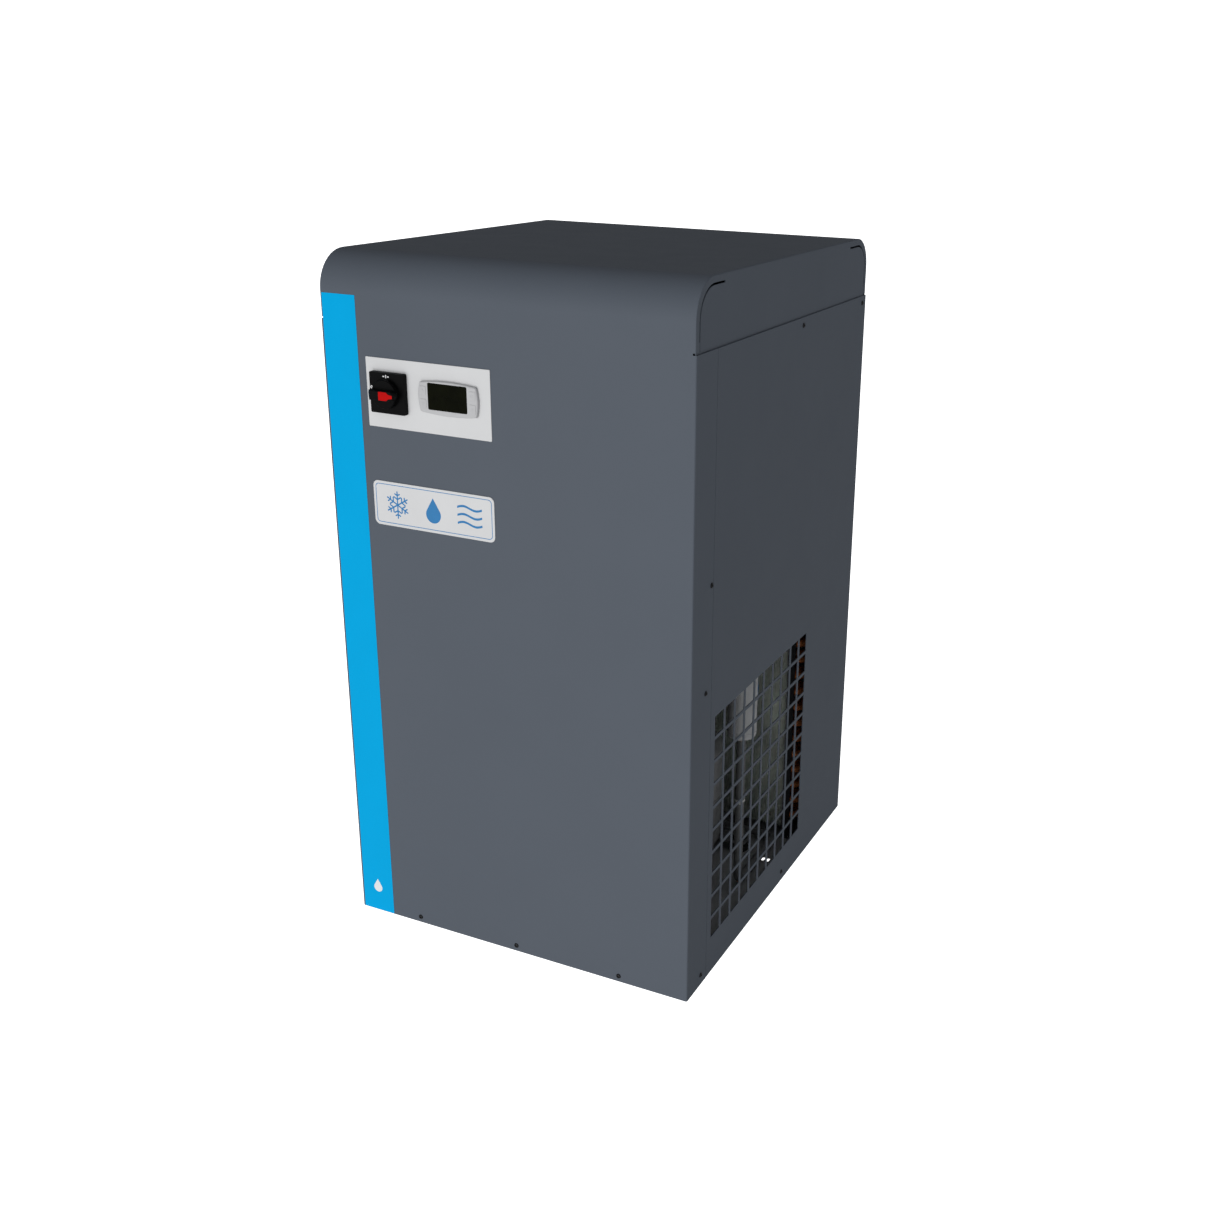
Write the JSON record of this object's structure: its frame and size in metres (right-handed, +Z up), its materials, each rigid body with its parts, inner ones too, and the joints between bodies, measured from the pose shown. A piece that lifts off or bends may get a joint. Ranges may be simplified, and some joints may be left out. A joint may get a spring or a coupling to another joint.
{
  "type": "refrigerated air dryer",
  "caption": "Floor-standing refrigerated dryer for compressed air: sheet-metal cabinet with rolled hood, side air grille, front switch and controller, and the full cooling circuit inside.",
  "frame": {"origin": "on the floor, under the centre of the cabinet", "axes": "+Z up, -Y out of the front with the controls, +X to the side with the air grille"},
  "size_m": [0.4288, 0.522, 0.764],
  "materials": {
    "powder_coat": "matte",
    "pan_paint": "matte",
    "zinc_plate": "satin",
    "black_screws": "satin",
    "blue_film": "satin",
    "white_film": "satin",
    "black_plastic": "satin",
    "red_plastic": "gloss",
    "grey_plastic": "satin",
    "dark_window": "gloss",
    "dark_housing": "matte",
    "box_paint": "matte",
    "terminal_plastic": "satin",
    "compressor_paint": "satin",
    "pump_iron": "matte",
    "rubber": "matte",
    "aluminium": "satin",
    "copper": "polished",
    "brass": "satin",
    "motor_paint": "matte",
    "fan_plastic": "matte",
    "guard_coat": "satin",
    "drier_paint": "satin",
    "foam": "matte",
    "white_plastic": "satin"
  },
  "bodies": {
    "cabinet": {"hood": "powder_coat", "right_side_panel": "powder_coat", "left_side_panel": "powder_coat", "rear_panel": "powder_coat", "base_pan": "pan_paint", "compressor_feet": "pan_paint", "fan_shroud": "pan_paint", "component_shelf": "zinc_plate", "compressor_bolts": "zinc_plate", "condenser_end_plates": "zinc_plate", "fan_motor_bracket": "zinc_plate", "hood_screws": "black_screws", "side_screws": "black_screws", "rear_screws": "black_screws", "colour_strip": "blue_film", "control_fascia": "white_film", "badge_plate": "white_film", "mains_switch_plate": "black_plastic", "cable_gland": "black_plastic", "controller_bezel": "grey_plastic", "controller_window": "dark_window", "mains_switch_body": "dark_housing", "controller_body": "dark_housing", "compressor_terminal_cover": "dark_housing", "electrical_box": "box_paint", "electrical_cover": "box_paint", "terminal_block": "terminal_plastic", "compressor_shell_lower": "compressor_paint", "compressor_shell_upper": "compressor_paint", "compressor_pump": "pump_iron", "compressor_grommets": "rubber", "condenser_fins": "aluminium", "exchanger_core": "aluminium", "air_inlet_pipe": "aluminium", "air_outlet_pipe": "aluminium", "condenser_tubes": "copper", "capillary_tube": "copper", "discharge_line": "copper", "liquid_line": "copper", "suction_line": "copper", "drain_pipe": "copper", "hot_gas_valve": "brass", "drain_isolating_valve": "brass", "drain_solenoid_valve": "brass", "fan_motor": "motor_paint", "fan_guard": "guard_coat", "filter_drier": "drier_paint", "insulation_lower": "foam", "insulation_upper": "foam", "drain_outlet_fitting": "white_plastic"},
    "switch_knob": {"mains_switch_knob": "black_plastic", "mains_switch_pointer": "red_plastic", "mains_switch_spindle": "zinc_plate"},
    "upper_left_key": {"key_upper_left": "grey_plastic"},
    "lower_left_key": {"key_lower_left": "grey_plastic"},
    "upper_right_key": {"key_upper_right": "grey_plastic"},
    "lower_right_key": {"key_lower_right": "grey_plastic"},
    "fan": {"fan_rotor": "fan_plastic"},
    "drain_lever": {"drain_valve_lever": "red_plastic"},
    "drain_button": {"drain_test_button": "red_plastic"}
  },
  "joints": [
    {"name": "mains_switch_turn", "type": "hinge", "parent": "cabinet", "child": "switch_knob", "pos_m": [-0.1299, -0.2475, 0.62675], "axis": [0, 1, 0], "range_deg": [0, 90]},
    {"name": "upper_left_key_press", "type": "slide", "parent": "cabinet", "child": "upper_left_key", "axis": [0, 1, 0], "range_m": [0, 0.0005], "stiffness_N_per_m": 600},
    {"name": "lower_left_key_press", "type": "slide", "parent": "cabinet", "child": "lower_left_key", "axis": [0, 1, 0], "range_m": [0, 0.0005], "stiffness_N_per_m": 600},
    {"name": "upper_right_key_press", "type": "slide", "parent": "cabinet", "child": "upper_right_key", "axis": [0, 1, 0], "range_m": [0, 0.0005], "stiffness_N_per_m": 600},
    {"name": "lower_right_key_press", "type": "slide", "parent": "cabinet", "child": "lower_right_key", "axis": [0, 1, 0], "range_m": [0, 0.0005], "stiffness_N_per_m": 600},
    {"name": "fan_spin", "type": "hinge", "parent": "cabinet", "child": "fan", "pos_m": [0, 0.203, 0.178], "axis": [0, 1, 0], "continuous": true},
    {"name": "drain_lever_turn", "type": "hinge", "parent": "cabinet", "child": "drain_lever", "pos_m": [0.126, 0.1, 0.403], "axis": [0, 0, 1], "range_deg": [-90, 0]},
    {"name": "drain_button_press", "type": "slide", "parent": "cabinet", "child": "drain_button", "axis": [0, 0, -1], "range_m": [0, 0.002], "stiffness_N_per_m": 400}
  ]
}
